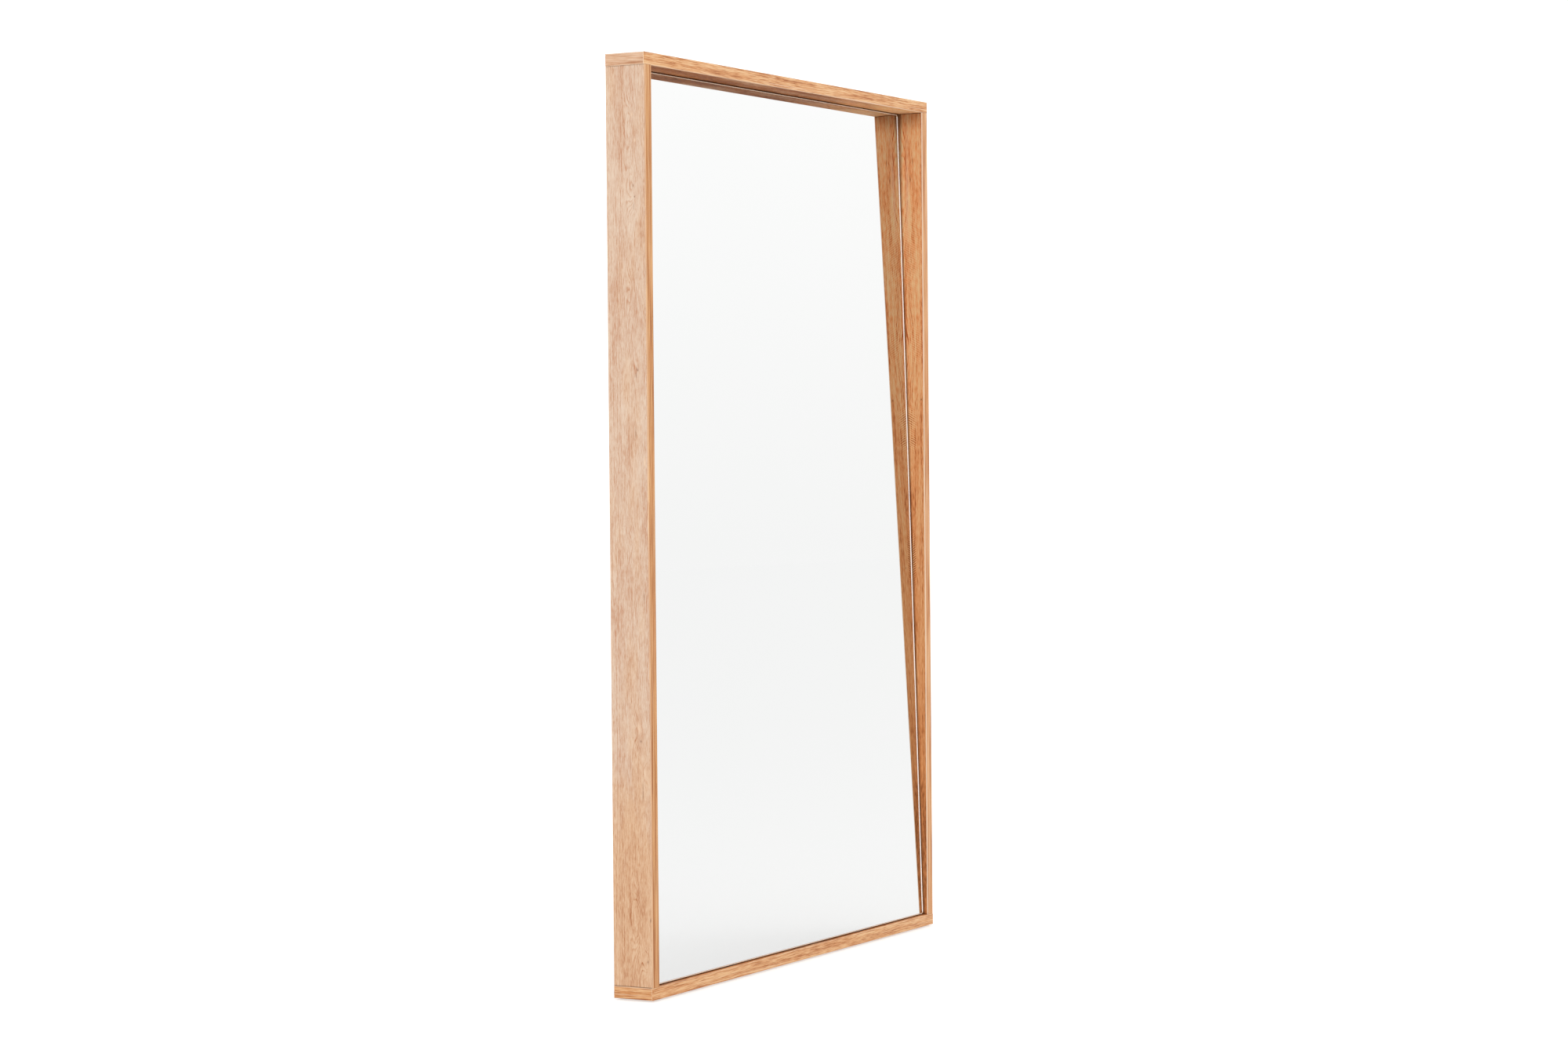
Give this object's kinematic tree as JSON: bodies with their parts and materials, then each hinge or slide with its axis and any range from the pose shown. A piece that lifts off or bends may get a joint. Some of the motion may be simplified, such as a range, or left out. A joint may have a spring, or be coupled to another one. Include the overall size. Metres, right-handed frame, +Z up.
{
  "type": "floor mirror",
  "caption": "Upright floor mirror in a deep rectangular wood-decor box frame, with the glass leaning back inside it and wall tether rings behind.",
  "frame": {"origin": "on the floor, under the middle of the frame's width and depth", "axes": "+Z up, the glass faces -Y, +X to the right of someone looking into the mirror"},
  "size_m": [1.09, 0.08, 1.653],
  "materials": {
    "oak_decor_board": "oak-decor melamine on particleboard, fine pore texture, matt",
    "oak_decor_edge_band": "oak-decor ABS edge band with milled pale edges, matt",
    "silvered_glass": "clear float glass silvered behind, edges ground and frosted",
    "white_film": "woven-look safety film",
    "grey_foam_tape": "closed-cell foam tape",
    "black_packer": "hard rubber",
    "grey_backed_fibreboard": "bare fibreboard, smooth",
    "softwood": "planed pine, untreated",
    "beech_dowel": "fluted beech",
    "zinc_plated_steel": "bright zinc plate",
    "yellow_zinc_screw": "yellow passivated zinc",
    "white_nylon": "moulded nylon"
  },
  "bodies": {
    "frame": {"top_board": "oak_decor_board", "bottom_board": "oak_decor_board", "left_side_board": "oak_decor_board", "right_side_board": "oak_decor_board", "top_front_band": "oak_decor_edge_band", "bottom_front_band": "oak_decor_edge_band", "left_front_band": "oak_decor_edge_band", "right_front_band": "oak_decor_edge_band", "top_left_end_band": "oak_decor_edge_band", "top_right_end_band": "oak_decor_edge_band", "bottom_left_end_band": "oak_decor_edge_band", "bottom_right_end_band": "oak_decor_edge_band", "top_rear_band": "oak_decor_edge_band", "bottom_rear_band": "oak_decor_edge_band", "left_rear_band": "oak_decor_edge_band", "right_rear_band": "oak_decor_edge_band", "left_batten": "softwood", "right_batten": "softwood", "top_batten": "softwood", "bottom_batten": "softwood", "top_left_bracket": "zinc_plated_steel", "top_right_bracket": "zinc_plated_steel", "bottom_left_bracket": "zinc_plated_steel", "bottom_right_bracket": "zinc_plated_steel", "mirror_glass": "silvered_glass", "safety_film": "white_film", "mirror_tapes": "grey_foam_tape", "setting_blocks": "black_packer", "backing_panel": "grey_backed_fibreboard", "corner_dowels": "beech_dowel", "bracket_screws": "yellow_zinc_screw", "panel_screws": "yellow_zinc_screw", "side_batten_screws": "yellow_zinc_screw", "cross_batten_screws": "yellow_zinc_screw", "strap_screws": "zinc_plated_steel", "left_tether_strap": "zinc_plated_steel", "right_tether_strap": "zinc_plated_steel", "floor_glides": "white_nylon", "glide_nails": "zinc_plated_steel"},
    "left_ring": {"left_tether_ring": "zinc_plated_steel"},
    "right_ring": {"right_tether_ring": "zinc_plated_steel"}
  },
  "joints": [
    {"name": "left_ring_swing", "type": "hinge", "parent": "frame", "child": "left_ring", "pos_m": [-0.3, 0.03658, 1.59537], "axis": [1, 0, 0], "range_deg": [-38, 165]},
    {"name": "right_ring_swing", "type": "hinge", "parent": "frame", "child": "right_ring", "pos_m": [0.3, 0.03658, 1.59537], "axis": [1, 0, 0], "range_deg": [-38, 165]}
  ]
}
